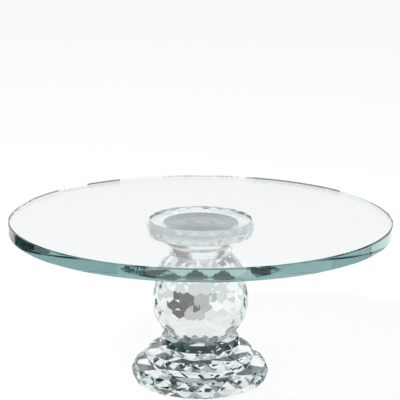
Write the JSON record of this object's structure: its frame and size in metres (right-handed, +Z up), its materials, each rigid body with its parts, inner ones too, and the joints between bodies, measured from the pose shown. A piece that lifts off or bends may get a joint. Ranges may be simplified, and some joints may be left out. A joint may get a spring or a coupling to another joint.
{
  "type": "cake turntable",
  "caption": "Clear glass cake turntable: a round plate on a faceted crystal hub and hidden swivel bearing, over a faceted crystal ball and stepped diamond-cut discs.",
  "frame": {"origin": "centre of the footprint, on the surface the feet rest on", "axes": "+Z up along the axis of rotation, -Y to the front, +X to the right seen from the front"},
  "size_m": [0.3, 0.3, 0.1342],
  "materials": {
    "plate_glass": "clear polished float glass with a pale green edge",
    "crystal": "clear crystal, ground flat facets, polished",
    "adhesive": "clear cured adhesive film",
    "turned_aluminium": "fine turned, satin",
    "cage_nylon": "moulded natural nylon",
    "bearing_steel": "hardened, polished",
    "zinc_steel": "bright zinc plate",
    "clear_silicone": "clear, soft, slightly matt"
  },
  "bodies": {
    "pedestal": {"base_disc": "crystal", "middle_bond": "adhesive", "middle_disc": "crystal", "collar_bond": "adhesive", "collar_disc": "crystal", "ball_bond": "adhesive", "crystal_ball": "crystal", "swivel_base_bond": "adhesive", "lower_race": "turned_aluminium", "glide_ring": "cage_nylon", "retaining_washer": "zinc_steel", "lock_nut": "zinc_steel", "centre_bolt": "zinc_steel", "foot_bumpers": "clear_silicone"},
    "turntable": {"glass_plate": "plate_glass", "plate_bond": "adhesive", "hub_disc": "crystal", "swivel_top_bond": "adhesive", "upper_race": "turned_aluminium"},
    "bearing_cage": {"ball_cage": "cage_nylon", "bearing_balls": "bearing_steel"}
  },
  "joints": [
    {"name": "plate_spin", "type": "hinge", "parent": "pedestal", "child": "turntable", "pos_m": [0, 0, 0.1026], "axis": [0, 0, 1], "continuous": true},
    {"name": "cage_spin", "type": "hinge", "parent": "pedestal", "child": "bearing_cage", "pos_m": [0, 0, 0.1026], "axis": [0, 0, 1], "continuous": true}
  ],
  "couplings": [
    {"joint": "cage_spin", "follows": "plate_spin", "ratio": 0.5}
  ]
}
